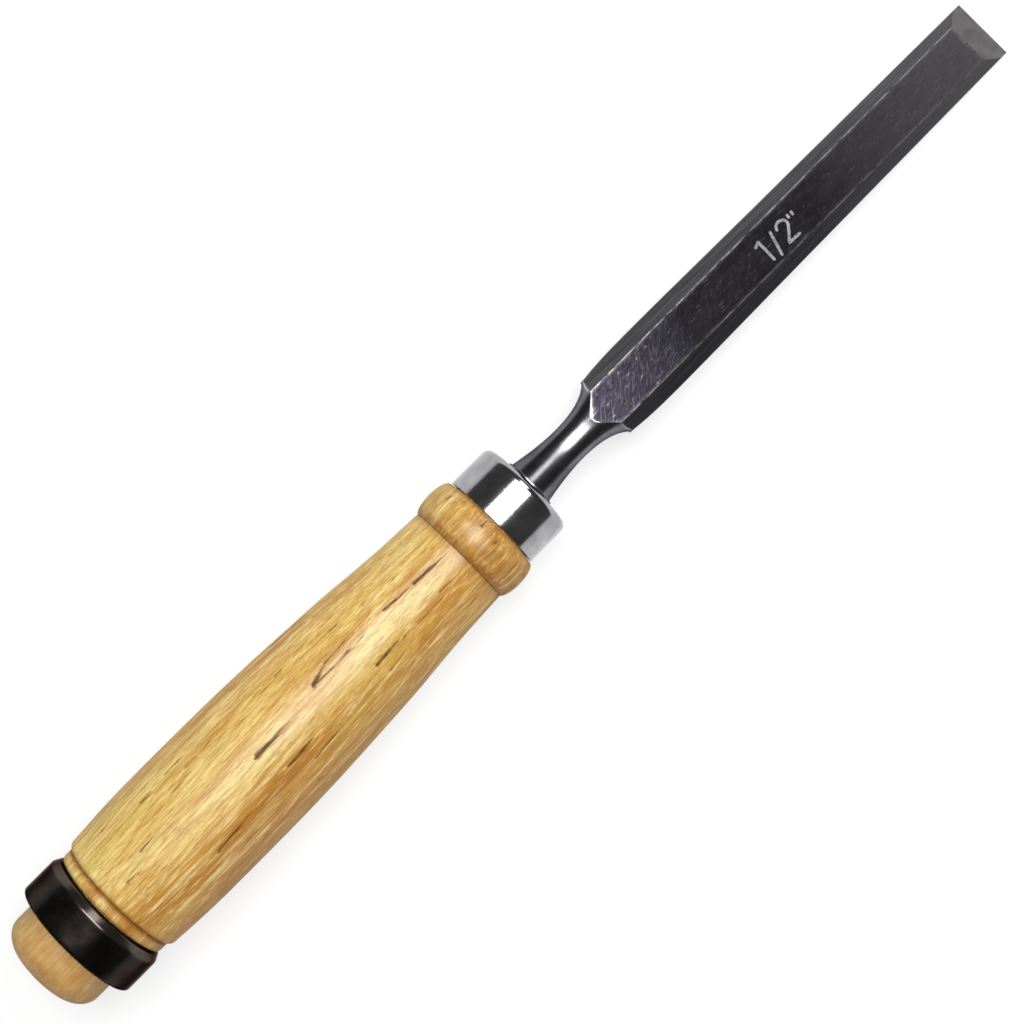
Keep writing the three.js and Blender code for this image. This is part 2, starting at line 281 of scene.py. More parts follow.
def skin(rings, closed):
    """Points and faces over rings of points. A skin that isn't closed gets a pole at each end."""
    count, turns = rings.shape[:2]
    points = rings.reshape(-1, 3)
    number = np.arange(count * turns).reshape(count, turns)
    beside = np.roll(number, -1, 1)
    after, after_beside = np.roll(number, -1, 0), np.roll(beside, -1, 0)
    quads = np.stack([number, after, after_beside, beside], 2)
    quads = (quads if closed else quads[:-1]).reshape(-1, 4).tolist()
    if closed:
        return points, quads
    poles = np.stack([rings[0].mean(0), rings[-1].mean(0)])
    first, last = len(points), len(points) + 1
    fans = [(first, int(a), int(b)) for a, b in zip(number[0], beside[0])]
    fans += [(last, int(b), int(a)) for a, b in zip(number[-1], beside[-1])]
    return np.concatenate([points, poles]), quads + fans


def add_piece(name, points, faces, materials, facets=None, marks=None, crisp=50.0):
    """A piece of the object. points are in millimetres in the tool's frame, facets gives each
    face's material, and marks are named values at the points, for the materials to read."""
    mesh = bpy.data.meshes.new(name)
    mesh.from_pydata((points * MM).tolist(), [], faces)
    for material in materials:
        mesh.materials.append(material)
    if facets is not None:
        mesh.polygons.foreach_set("material_index", facets)
    for mark, values in (marks or {}).items():
        layer = mesh.attributes.new(mark, "FLOAT", "POINT")
        layer.data.foreach_set("value", np.asarray(values, np.float32))
    tidy = bmesh.new()
    tidy.from_mesh(mesh)
    bmesh.ops.dissolve_degenerate(tidy, edges=tidy.edges, dist=1e-8)
    bmesh.ops.recalc_face_normals(tidy, faces=tidy.faces)
    tidy.to_mesh(mesh)
    tidy.free()
    mesh.polygons.foreach_set("use_smooth", [True] * len(mesh.polygons))
    mesh.set_sharp_from_angle(angle=math.radians(crisp))
    piece = bpy.data.objects.new(name, mesh)
    bpy.context.scene.collection.objects.link(piece)
    piece.matrix_world = TOOL
    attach(piece, "root")
    return piece


# ---- Materials ------------------------------------------------------------------------------


def paint(red, green, blue):
    """A colour given as it looks on a screen, from 0 to 255, in the renderer's linear values."""
    shares = np.array([red, green, blue]) / 255
    linear = np.where(shares <= 0.04045, shares / 12.92, ((shares + 0.055) / 1.055) ** 2.4)
    return (*linear.tolist(), 1.0)


class Material:
    """A material being made. Each call adds one node, and returns the socket it gives."""

    def __init__(self, name):
        self.result = bpy.data.materials.new(name)
        self.result.use_nodes = True
        self.tree = self.result.node_tree
        self.shader = self.tree.nodes["Principled BSDF"]
        self.place = self.add("ShaderNodeTexCoord").outputs["Object"]

    def feed(self, socket, value):
        if isinstance(value, bpy.types.NodeSocket):
            self.tree.links.new(value, socket)
        else:
            socket.default_value = value

    def add(self, kind, inputs=(), **settings):
        node = self.tree.nodes.new(kind)
        for name, value in settings.items():
            setattr(node, name, value)
        for socket, value in dict(inputs).items():
            self.feed(node.inputs[socket], value)
        return node

    def slanted(self, degrees):
        """The place on the tool, turned about z, for grain that runs at a slant."""
        turn = (0.0, 0.0, -math.radians(degrees))
        return self.add("ShaderNodeMapping", {"Vector": self.place, "Rotation": turn}).outputs[0]

    def grain(self, length, width, detail=2.0, rough=0.5, shift=0.0, place=None, warp=0.0):
        """Noise from 0 to 1 with features of that length along x and width across it, in mm."""
        scale = (1 / (length * MM), 1 / (width * MM), 1 / (width * MM))
        inputs = {
            "Vector": place or self.place,
            "Scale": scale,
            "Location": (shift, 0.37 * shift, -0.61 * shift),
        }
        stretched = self.add("ShaderNodeMapping", inputs).outputs[0]
        inputs = {
            "Vector": stretched,
            "Scale": 1.0,
            "Detail": detail,
            "Roughness": rough,
            "Distortion": warp,
        }
        return self.add("ShaderNodeTexNoise", inputs).outputs[0]

    def ramp(self, value, *stops):
        """Colours by value: stops are (value, colour)."""
        node = self.add("ShaderNodeValToRGB", {"Fac": value})
        elements = node.color_ramp.elements
        while len(elements) < len(stops):
            elements.new(0.5)
        for element, (position, colour) in zip(elements, stops):
            element.position = position
            element.color = colour
        return node.outputs["Color"]

    def span(self, value, low, high, to_low=0.0, to_high=1.0):
        """value moved from the range low..high to the range to_low..to_high, and kept there."""
        inputs = {0: value, 1: low, 2: high, 3: to_low, 4: to_high}
        return self.add("ShaderNodeMapRange", inputs).outputs[0]

    def sum(self, first, second):
        return self.add("ShaderNodeMath", {0: first, 1: second}, operation="ADD").outputs[0]

    def product(self, first, second):
        return self.add("ShaderNodeMath", {0: first, 1: second}, operation="MULTIPLY").outputs[0]

    def blend(self, share, first, second, way="MIX"):
        """The first colour with the second laid over it in that share."""
        inputs = {0: share, 6: first, 7: second}
        node = self.add("ShaderNodeMix", inputs, data_type="RGBA", blend_type=way)
        return node.outputs[2]

    def mark(self, name):
        return self.add("ShaderNodeAttribute", attribute_name=name).outputs["Fac"]

    def axis(self, letter):
        split = self.add("ShaderNodeSeparateXYZ", {0: self.place})
        return split.outputs[letter]

    def side_on(self):
        """From 0 on a surface seen face on to 1 on one seen edge on. For gloss only."""
        return self.add("ShaderNodeLayerWeight", {"Blend": 0.5}).outputs["Facing"]

    def relief(self, height, depth):
        """A bump whose highest point stands depth millimetres above its lowest."""
        inputs = {"Height": height, "Distance": depth * MM, "Strength": 1.0}
        return self.add("ShaderNodeBump", inputs).outputs[0]

    def finish(self, **sockets):
        """Sets or links the shader's own sockets, named with _ for a space."""
        for name, value in sockets.items():
            self.feed(self.shader.inputs[name.replace("_", " ")], value)
        return self.result


WHITE = (1.0, 1.0, 1.0, 1.0)


def lacquered_wood():
    """Golden hardwood under a clear lacquer: broad tones, streaks, fibres, pores and flecks."""
    m = Material("lacquered_wood")
    fibres = m.slanted(2.0)
    tone = m.ramp(
        m.grain(46, 6.5, 3.0, 0.55, place=fibres, warp=0.4),
        (0.32, paint(190, 144, 70)),
        (0.44, paint(208, 170, 90)),
        (0.56, paint(218, 192, 114)),
        (0.70, paint(200, 178, 88)),
    )
    # painted shade: the ramp below darkens the wood towards both sides of the handle, most on its
    # -y side, where the wood is also a little browner
    side = m.sum(m.axis("Y"), m.span(m.grain(30, 5, 2.0, shift=2.0), 0.3, 0.7, -4 * MM, 4 * MM))
    side_shade = m.ramp(
        m.span(side, -13 * MM, 13 * MM),
        (0.0, paint(196, 158, 114)),
        (0.35, paint(238, 218, 190)),
        (0.55, WHITE),
        (0.85, WHITE),
        (1.0, paint(230, 212, 184)),
    )
    tone = m.blend(1.0, tone, side_shade, "MULTIPLY")
    streaks = m.grain(24, 1.1, 3.0, 0.6, 3.0, fibres, 0.3)
    brown = m.span(streaks, 0.50, 0.70, 0.0, 0.60)
    tone = m.blend(brown, tone, paint(184, 132, 62))
    pale = m.span(m.grain(28, 1.2, 2.0, 0.5, 9.0, fibres), 0.54, 0.70, 0.0, 0.65)
    tone = m.blend(pale, tone, paint(234, 214, 150))
    fine = m.grain(7.0, 0.42, 3.0, 0.65, 5.0, fibres)
    hair = m.grain(3.6, 0.20, 2.0, 0.6, 6.0, fibres)
    dark_fibres = m.span(fine, 0.50, 0.36, 0.0, 0.55)
    tone = m.blend(dark_fibres, tone, paint(166, 116, 48))
    tone = m.blend(m.span(fine, 0.54, 0.68, 0.0, 0.60), tone, paint(240, 220, 156))
    figure = m.grain(2.6, 0.75, 3.0, 0.6, 8.0, fibres, 0.5)
    tone = m.blend(m.span(figure, 0.48, 0.32, 0.0, 0.35), tone, paint(170, 116, 44))
    tone = m.blend(m.span(hair, 0.46, 0.30, 0.0, 0.50), tone, paint(150, 104, 48))
    pores = m.span(m.grain(3.0, 0.24, 1.0, 0.5, 7.0, fibres), 0.66, 0.74)
    tone = m.blend(m.product(pores, 0.5), tone, paint(104, 64, 28))
    ragged = m.sum(m.mark("fleck"), m.span(hair, 0.3, 0.7, 0.34, -0.34))
    tone = m.blend(m.span(ragged, 0.22, 0.46, 0.0, 0.60), tone, paint(142, 92, 36))
    tone = m.blend(m.span(ragged, 0.46, 0.84, 0.0, 0.90), tone, paint(74, 48, 20))
    # painted shade darkens the wood in the grooves and creases; the same mark also mottles the
    # bead and the button
    crease_shading = m.product(m.mark("crease_shade_and_mottling"), m.span(streaks, 0.35, 0.65, 0.6, 1.0))
    tone = m.blend(crease_shading, tone, paint(142, 86, 30))
    tone = m.blend(m.mark("bare"), tone, paint(176, 136, 88))
    clear = m.span(ragged, 0.45, 0.70, 0.55, 0.05)
    face_on = m.span(m.side_on(), 0.30, 0.70, 1.0, 0.05)
    return m.finish(
        Base_Color=tone,
        Roughness=m.span(fine, 0.3, 0.7, 0.46, 0.60),
        Specular_IOR_Level=0.12,
        Normal=m.relief(fine, 0.012),
        Coat_Weight=m.product(face_on, clear),
        Coat_Roughness=0.30,
        Coat_IOR=1.5,
        Coat_Normal=m.relief(fine, 0.004),
    )


def polished_steel():
    """The neck: bright ground steel, with fine lines along it."""
    m = Material("polished_steel")
    lines = m.grain(14, 0.10, 2.0, 0.6)
    clouds = m.grain(5, 2.2, 3.0)
    tone = m.ramp(clouds, (0.3, paint(92, 92, 97)), (0.7, paint(124, 124, 128)))
    # painted highlight: the neck is whitened along its edge at the point of the top face, carrying
    # the bright line on to that point
    tone = m.blend(m.mark("edge"), tone, paint(235, 235, 238))
    return m.finish(
        Base_Color=tone,
        Metallic=1.0,
        Specular_Tint=paint(150, 150, 156),
        Roughness=m.span(lines, 0.3, 0.7, 0.19, 0.27),
        Normal=m.relief(lines, 0.002),
    )


def forged_steel():
    """The blade's top face: black forging skin, made bright along the crests by wear and a painted
    highlight, plainer and lighter to the tip, partly as a painted reflection.
    """
    m = Material("forged_steel")
    strokes = m.slanted(17.0)
    skin_grain = m.grain(1.3, 0.42, 3.0, 0.6, place=strokes)
    clouds = m.grain(6, 2.5, 3.0, 0.6, 4.0)
    to_tip = m.span(m.axis("X"), (SHOULDER + 53.1) * MM, EDGE * MM)
    near_neck = m.span(m.axis("X"), (SHOULDER + 21.1) * MM, (SHOULDER + 1.1) * MM)
    tone = m.ramp(clouds, (0.3, paint(12, 11, 14)), (0.7, paint(20, 19, 22)))
    tone = m.blend(m.product(near_neck, 0.75), tone, paint(40, 38, 46))
    # lighter towards the tip: partly a plainer skin, partly a painted reflection of the light
    # ahead of the tip
    tone = m.blend(to_tip, tone, paint(51, 49, 51))
    broken = m.span(near_neck, 0, 1, 0.06, 0.7)
    hatch = m.grain(2.4, 0.22, 2.0, 0.6, 3.0, m.slanted(50.0))
    hatched = m.product(m.span(hatch, 0.52, 0.70), m.product(broken, 0.5))
    tone = m.blend(hatched, tone, paint(96, 94, 102))
    speck_share = m.product(m.span(skin_grain, 0.63, 0.76), broken)
    tone = m.blend(speck_share, tone, paint(128, 126, 134))
    pits = m.product(m.span(skin_grain, 0.42, 0.30), m.span(near_neck, 0, 1, 0.15, 0.8))
    tone = m.blend(pits, tone, paint(16, 15, 18))
    scratches = m.span(m.grain(9, 0.12, 2.0, 0.6, 12.0), 0.66, 0.74, 0.0, 0.25)
    tone = m.blend(scratches, tone, paint(120, 119, 122))
    # the edge mark whitens the crests: partly wear, partly a painted highlight
    worn = m.product(m.mark("edge"), m.span(m.grain(2.5, 0.6, 3.0, 0.7, 6.0), 0.36, 0.58))
    tone = m.blend(worn, tone, paint(190, 189, 192))
    return m.finish(
        Base_Color=tone,
        Metallic=0.85,
        Specular_IOR_Level=0.05,
        Roughness=m.span(skin_grain, 0.3, 0.7, 0.46, 0.33),
        Normal=m.relief(skin_grain, 0.02),
    )


def ground_steel():
    """Side bevels, sides and back: dark steel, ground lengthwise, lighter on the +y side and
    darker on the -y side as painted light and shade.
    """
    m = Material("ground_steel")
    lines = m.grain(14, 0.11, 2.0, 0.6)
    clouds = m.grain(22, 0.7, 3.0, 0.65, 2.0)
    to_tip = m.span(m.axis("X"), (SHOULDER + 45.1) * MM, EDGE * MM)
    # painted light and shade: the +y side gets a lighter copy of the steel than the -y side
    lit_side_steel = m.ramp(clouds, (0.32, paint(58, 58, 61)), (0.68, paint(100, 100, 103)))
    shaded_side_steel = m.ramp(clouds, (0.32, paint(30, 30, 33)), (0.68, paint(54, 54, 57)))
    back = m.ramp(clouds, (0.32, paint(44, 44, 47)), (0.68, paint(76, 76, 79)))
    tone = m.blend(m.span(m.axis("Y"), -1 * MM, 1 * MM), shaded_side_steel, lit_side_steel)
    tone = m.blend(m.span(m.axis("Z"), -2.95 * MM, -2.75 * MM), back, tone)
    tone = m.blend(m.product(to_tip, 0.5), tone, paint(112, 111, 113))
    patches = m.span(m.grain(3.5, 0.8, 3.0, 0.7, 8.0), 0.35, 0.65, 0.1, 0.8)
    # the edge mark whitens the edges: partly wear, partly a painted highlight
    worn = m.product(m.mark("edge"), patches)
    tone = m.blend(worn, tone, paint(176, 175, 178))
    return m.finish(
        Base_Color=tone,
        Metallic=0.75,
        Roughness=m.span(lines, 0.3, 0.7, 0.34, 0.46),
        Normal=m.relief(lines, 0.004),
    )


def honed_steel():
    """The cutting bevel: pale, finely honed."""
    m = Material("honed_steel")
    lines = m.grain(0.12, 4.0, 2.0, 0.6)
    clouds = m.grain(3, 3, 3.0)
    tone = m.ramp(clouds, (0.3, paint(112, 110, 110)), (0.7, paint(136, 134, 133)))
    return m.finish(
        Base_Color=tone,
        Metallic=0.8,
        Roughness=m.span(lines, 0.3, 0.7, 0.30, 0.42),
        Normal=m.relief(lines, 0.003),
    )


def bright_steel():
    """The ferrule: plated steel with faint turning lines and a few dull patches."""
    m = Material("bright_steel")
    turning = m.grain(0.14, 40, 2.0, 0.6)
    clouds = m.grain(3.5, 3.5, 3.0, 0.6)
    tone = m.ramp(clouds, (0.3, paint(150, 149, 152)), (0.7, paint(176, 176, 178)))
    return m.finish(
        Base_Color=tone,
        Metallic=1.0,
        Roughness=m.span(clouds, 0.35, 0.7, 0.10, 0.14),
        Normal=m.relief(turning, 0.001),
    )


def blackened_steel():
    """The striking hoop: glossy black oxide, rubbed bright on its edges."""
    m = Material("blackened_steel")
    clouds = m.grain(5, 5, 3.0, 0.6)
    scuffs = m.grain(1.2, 2.6, 3.0, 0.7, 5.0)
    tone = m.ramp(clouds, (0.3, paint(40, 36, 35)), (0.7, paint(62, 56, 54)))
    tone = m.blend(m.span(scuffs, 0.64, 0.76, 0.0, 0.5), tone, paint(104, 98, 94))
    rubbed = m.product(m.mark("edge"), m.span(scuffs, 0.30, 0.60, 0.6, 1.0))
    tone = m.blend(rubbed, tone, paint(90, 82, 76))
    return m.finish(
        Base_Color=tone,
        Metallic=0.95,
        Specular_Tint=paint(154, 142, 136),
        Roughness=m.span(clouds, 0.3, 0.7, 0.16, 0.26),
        Normal=m.relief(scuffs, 0.008),
    )


def etched_mark():
    """The size mark: pale etched metal, worn thin in places."""
    m = Material("etched_mark")
    worn = m.grain(0.7, 0.5, 3.0, 0.6)
    tone = m.ramp(worn, (0.32, paint(84, 83, 88)), (0.60, paint(140, 139, 144)))
    return m.finish(Base_Color=tone, Metallic=0.2, Roughness=0.55, Normal=m.relief(worn, 0.01))


# ---- Handle ---------------------------------------------------------------------------------

SEAT_RADIUS = 10.1
COLLAR_RADIUS = 12.1
COLLAR_START = HOOP_END + 0.3
COLLAR_END = COLLAR_START + 2.0
BODY_START = COLLAR_END + 0.5
BODY_END = BODY_START + 86.2
BEAD_END = FERRULE_START - 0.3
TENON_RADIUS = 8.8
BEAD_BASE_RADIUS = 10.3
BEAD_HEIGHT = 1.35
HANDLE_TURNS = 310  # points in each ring
TANG_ROOT_HALF = 3.0
TANG_TIP_HALF = 1.25
TANG_GAP = 0.3


def body_outline():
    length = BODY_END - BODY_START
    swell = [(0.16, 13.5), (0.45, 13.35), (0.7, 12.35), (0.87, 11.15), (1.0, 10.6)]
    rear = (BODY_START + 1.2, 12.9)
    through = [rear] + [(BODY_START + share * length, radius) for share, radius in swell]
    shoulder = quarter_round((BODY_START, COLLAR_RADIUS), rear, 8)
    return np.concatenate([shoulder, smooth_curve(through, 60)[1:]])


def bead_outline():
    angle = np.linspace(0, math.pi, 25)
    x = BODY_END + 0.5 * (BEAD_END - BODY_END) * (1 - np.cos(angle))
    return np.stack([x, BEAD_BASE_RADIUS + BEAD_HEIGHT * np.sin(angle)], 1)


def handle_outline():
    """The outside of the handle, from the middle of its struck face to the tenon's end."""
    face = (BUTT, 4.6)
    button = quarter_round(face, (BUTT + 4.2, SEAT_RADIUS), 16)
    collar = [
        (COLLAR_START, SEAT_RADIUS),
        (COLLAR_START, COLLAR_RADIUS - 0.5),
        (COLLAR_START + 0.15, COLLAR_RADIUS - 0.15),
        (COLLAR_START + 0.5, COLLAR_RADIUS),
        (COLLAR_END - 0.1, COLLAR_RADIUS),
        (COLLAR_END + 0.25, COLLAR_RADIUS - 0.45),
    ]
    tenon = [
        (BEAD_END, TENON_RADIUS),
        (TENON_END - 0.6, TENON_RADIUS),
        (TENON_END, TENON_RADIUS - 0.6),
        (TENON_END, 5.0),
    ]
    return np.concatenate([[(BUTT, 0.6)], button, collar, body_outline(), bead_outline(), tenon])


def square_reach(half, turns):
    """How far a square of that half width reaches from its centre in each direction."""
    angle = np.arange(turns) * 2 * math.pi / turns
    return half / np.maximum(np.abs(np.cos(angle)), np.abs(np.sin(angle)))


# Dark flecks in the wood: start along x, angle from the top towards y in degrees, length, width
# at the start, slant in degrees towards y, depth of the crack, and how dark it is.
FLECKS = [
    (55.0, 0.5, 10.0, 1.0, 2.0, 0.06, 1.0),
    (55.5, 2.5, 8.0, 0.6, -3.0, 0.03, 0.8),
    (71.0, 8.0, 5.0, 1.1, 18.0, 0.06, 1.0),
    (75.0, 15.5, 7.0, 0.5, 3.0, 0.03, 0.7),
    (72.0, 7.5, 14.0, 0.6, 1.0, 0.03, 0.75),
    (89.0, 13.0, 8.0, 0.5, -3.0, 0.04, 0.85),
    (96.0, 11.0, 9.5, 0.7, -2.0, 0.06, 1.0),
    (81.5, -16.5, 7.0, 0.7, 2.0, 0.04, 0.9),
    (88.0, -17.0, 12.0, 0.4, -1.0, 0.02, 0.55),
    (98.5, -12.0, 4.5, 0.5, 0.0, 0.03, 0.75),
    (58.0, -22.0, 8.0, 0.9, 3.0, 0.05, 0.85),
    (38.5, -31.0, 12.0, 0.9, 6.0, 0.05, 0.8),
    (45.0, 35.0, 9.0, 0.5, 2.0, 0.02, 0.6),
    (29.5, 12.0, 5.0, 0.5, 4.0, 0.03, 0.65),
    (24.0, 3.0, 4.0, 0.8, -6.0, 0.03, 0.6),
    (62.0, -34.0, 11.0, 0.6, 4.0, 0.03, 0.6),
    (112.2, 4.0, 1.8, 0.6, 0.0, 0.03, 0.8),
    (111.5, -15.0, 1.6, 0.5, 0.0, 0.03, 0.7),
    (70.0, 74.0, 11.0, 0.8, 4.0, 0.05, 0.8),
    (48.0, 128.0, 13.0, 1.0, 5.0, 0.06, 0.9),
    (84.0, 165.0, 10.0, 0.8, 4.0, 0.05, 0.9),
    (58.0, -112.0, 12.0, 0.9, 4.0, 0.06, 0.9),
    (86.0, -88.0, 9.0, 0.7, 3.0, 0.05, 0.8),
    (36.0, -155.0, 10.0, 0.7, 4.0, 0.05, 0.8),
]
SMALL_FLECKS = 90


def all_flecks():
    """The large flecks, and small ones scattered over the whole handle."""
    chance = np.random.default_rng(41)
    small = [
        (
            chance.uniform(BODY_START + 2, BEAD_END - 4),
            chance.uniform(-180, 180),
            chance.uniform(1.5, 5.5),
            chance.uniform(0.25, 0.5),
            chance.uniform(0, 8),
            0.012,
            chance.uniform(0.35, 0.7),
        )
        for _ in range(SMALL_FLECKS)
    ]
    return FLECKS + small


def fleck_cover(rings):
    """How much each point of the handle lies in a fleck, and how deep the cracks are there."""
    x = rings[..., 0]
    radius = np.hypot(rings[..., 1], rings[..., 2])
    turn = np.degrees(np.arctan2(rings[..., 1], rings[..., 2]))
    cover = np.zeros(x.shape)
    depth = np.zeros(x.shape)
    for start, angle, length, width, slant, crack, dark in all_flecks():
        along_it = (x - start) / length
        from_start = (turn - angle + 180) % 360 - 180
        across = np.radians(from_start) * radius - (x - start) * math.tan(math.radians(slant))
        body = np.clip(1 - along_it, 0, 1) ** 0.7 * np.clip(along_it / 0.06, 0, 1)
        crosswise = (across / (0.5 * width * body + 0.10)) ** 2
        cover = np.maximum(cover, dark * np.exp(-crosswise) * np.minimum(1, 2.5 * body))
        depth = np.maximum(depth, crack * np.exp(-crosswise) * body)
    return cover, depth


def add_handle():
    outline = refined(handle_outline(), 0.66)
    rings = rings_about_axis(outline[:, 0], outline[:, 1], HANDLE_TURNS)
    x, radius = outline[:, :1], outline[:, 1:]
    shown = ((x < HOOP_START) | ((x > COLLAR_START) & (x < BEAD_END))) & (radius > 4.0)
    cover, depth = fleck_cover(rings)
    fibres = noise(rings, (7.0, 0.55, 0.55), 11) + 0.6 * noise(rings, (3.0, 0.3, 0.3), 12)
    hand = noise(rings, (18.0, 7.0, 7.0), 13)
    rise = shown * (0.010 * fibres + 0.035 * hand - depth)
    rings[..., 1:] *= (1 + rise / radius)[..., None]

    steps = 40
    stations = np.linspace(TENON_END, TANG_TIP - 1.0, steps)
    run = (TENON_END - stations) / (TENON_END - TANG_TIP)
    half = TANG_ROOT_HALF + (TANG_TIP_HALF - TANG_ROOT_HALF) * run + TANG_GAP
    hole = rings_about_axis(
        stations,
        np.stack([square_reach(width, HANDLE_TURNS) for width in half]),
        HANDLE_TURNS,
    )
    points, faces = skin(np.concatenate([rings, hole]), closed=False)

    # painted shade in the grooves and creases, together with real mottling on the bead and the
    # button
    grooves = (COLLAR_START, COLLAR_END + 0.25, BODY_END + 0.6, BEAD_END)
    reach_of = (0.6, 0.8, 1.2, 0.8)
    close = [0.9 * np.exp(-(((x - g) / r) ** 2)) for g, r in zip(grooves, reach_of)]
    mottling = np.clip(0.22 + 0.55 * noise(rings, (1.4, 1.4, 1.4), 14), 0, 1)
    mottling = mottling * ((x > BODY_END) | (x < BODY_START + 0.3))
    crease_shade_and_mottling = np.maximum(np.max(close, 0), mottling) * shown
    bare = np.broadcast_to(np.clip((HOOP_START + 1 - x) / 2, 0, 1) * 0.55, cover.shape)
    inside = np.zeros(len(points) - cover.size)
    marks = {
        "fleck": np.concatenate([(cover * shown).ravel(), inside]),
        "crease_shade_and_mottling": np.concatenate([crease_shade_and_mottling.ravel(), inside]),
        "bare": np.concatenate([bare.ravel(), inside]),
    }
    wood = [lacquered_wood()]
    piece = add_piece("turned_handle", points, faces, wood, marks=marks)
    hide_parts("handle")


# ---- Hoop and ferrule -----------------------------------------------------------------------


def closeness(outline, start, end, distance):
    """From 0 to 1, how near each outline point is to the line from start to end."""
    start, run = np.array(start), np.array(end) - np.array(start)
    share = np.clip((outline - start) @ run / (run @ run), 0, 1)
    gaps = np.linalg.norm(outline - (start + share[:, None] * run), axis=1)
    return np.exp(-gaps / distance)


def add_ring(name, node, outline, turns, material, rubbed, dent):
    """A ring whose outline is turned about the axis. rubbed is the line where it is worn."""
    outline = refined(outline, 0.5, closed=True)
    rings = rings_about_axis(outline[:, 0], outline[:, 1], turns)
    uneven = noise(rings, (4.0, 5.0, 5.0), 21) + 0.4 * noise(rings, (1.2, 1.5, 1.5), 22)
    rings[..., 1:] *= (1 + dent * uneven / outline[:, 1:])[..., None]
    points, faces = skin(rings, closed=True)
    edge = np.repeat(closeness(outline, *rubbed, 0.15), turns)
    piece = add_piece(name, points, faces, [material], marks={"edge": edge})
    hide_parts(node)


RING_TURNS = 300  # points in each ring of the hoop and the ferrule


def add_hoop():
    outer, inner = 13.0, 10.4
    edge_break = 0.35
    chamfer, drop = 1.4, 0.8
    bevel = ((HOOP_END - chamfer, outer), (HOOP_END - 0.1, outer - 0.74))
    outline = [
        (HOOP_START, inner),
        (HOOP_START, outer - edge_break),
        (HOOP_START + edge_break, outer),
        bevel[0],
        (HOOP_END, outer - drop),
        (HOOP_END, inner),
    ]
    eased = eased_corners(outline, 0.3)
    steel = blackened_steel()
    add_ring("hoop", "striking_hoop", eased, RING_TURNS, steel, bevel, 0.02)


def add_ferrule():
    outer, inner, hole, corner = 10.2, 9.1, 4.7, 1.4
    floor = FERRULE_END - 1.1
    angle = np.linspace(0, 0.5 * math.pi, 9)
    front = np.stack(
        [FERRULE_END - corner * (1 - np.sin(angle)), outer - corner * (1 - np.cos(angle))], 1
    )
    rear = [(FERRULE_START, inner), (FERRULE_START, outer), (FERRULE_END, outer)]
    start = eased_corners(rear, 0.12)
    outline = np.concatenate(
        [
            start[:10],
            front,
            [(FERRULE_END, hole + 0.1), (FERRULE_END - 0.1, hole)],
            [(floor, hole), (floor, inner - 0.4), (floor - 0.4, inner)],
        ]
    )
    rim = ((FERRULE_END, hole), (FERRULE_END, hole + 0.1))
    steel = bright_steel()
    add_ring("ferrule_cup", "ferrule", outline, RING_TURNS, steel, rim, 0.004)


# ---- Blade ----------------------------------------------------------------------------------

FERRULE_FLOOR = FERRULE_END - 1.1
LIP_START = FERRULE_END + 0.3
NECK_START = LIP_START + 0.5
NECK_THIN = NECK_START + 10.1
SHOULDER = NECK_START + 20.0
BACK = -3.0
TOP_AT_SHOULDER = 3.35
TOP_AT_EDGE = -0.15
CREST_AT_EDGE = 4.37
SIDE_SLOPE = -0.909  # of the side bevel, across the blade
SIDE_FALL = -0.03197  # of the side bevel, along the blade
EDGE_LAND = 0.1
CUTTING_SLOPE = math.tan(math.radians(29))
HEART = 0.175  # height of the point that the blade's sections are measured from
CRISPNESS = 160  # higher is a sharper edge between two faces
NECK, TOP, SIDE, LAND, BACK_FACE, BEVEL = range(6)


def top_height(x):
    return np.interp(x, [SHOULDER, EDGE], [TOP_AT_SHOULDER, TOP_AT_EDGE])


def sloping_top(x):
    """Height of the top face's plane, which runs on past the shoulder."""
    return TOP_AT_EDGE + (x - EDGE) * (TOP_AT_EDGE - TOP_AT_SHOULDER) / (EDGE - SHOULDER)


def side_height(x, y):
    return TOP_AT_EDGE + SIDE_SLOPE * (y - CREST_AT_EDGE) + SIDE_FALL * (x - EDGE)


def crest_half(x, lid):
    """Half width of the face at height lid, between the side bevels."""
    return CREST_AT_EDGE + (TOP_AT_EDGE + SIDE_FALL * (x - EDGE) - lid) / -SIDE_SLOPE


plate_curve = smooth_curve(
    [(SHOULDER, 6.5), (SHOULDER + 11.5, 7.03), (SHOULDER + 50, 6.72), (EDGE, 6.35)], 240
)


def plate_half(x):
    return np.interp(x, plate_curve[:, 0], plate_curve[:, 1])


def eased_steps(count, crowd=0.8):
    """Steps from 0 to 1, closer together at both ends."""
    t = np.arange(count) / count
    return t - crowd * np.sin(2 * math.pi * t) / (2 * math.pi)


TOP_STEPS, SIDE_STEPS, LAND_STEPS = 56, 22, 10


def plate_section(x):
    """Points round the plate's section at x, and the height of its heart."""
    lid = min(float(top_height(x)), BACK + EDGE_LAND + CUTTING_SLOPE * (EDGE - x))
    half = float(plate_half(x))
    crest = min(float(crest_half(x, lid)), half)
    land = max(min(side_height(x, half), lid), BACK + 0.5 * EDGE_LAND)
    corners = [(crest, lid), (-crest, lid), (-half, land)]
    corners += [(-half, BACK), (half, BACK), (half, land)]
    counts = [TOP_STEPS, SIDE_STEPS, LAND_STEPS, TOP_STEPS, LAND_STEPS, SIDE_STEPS]
    parts = []
    for corner, following, count in zip(corners, corners[1:] + corners[:1], counts):
        t = eased_steps(count)[:, None]
        parts.append(np.array(corner) * (1 - t) + np.array(following) * t)
    return np.concatenate(parts), 0.5 * (lid + BACK)


def to_plane(direction, normal, distance):
    """How far along each direction a plane is, seen from the heart of a section."""
    facing = direction @ np.array(normal)
    return np.where(facing > 1e-6, distance / np.maximum(facing, 1e-6), 1e3)


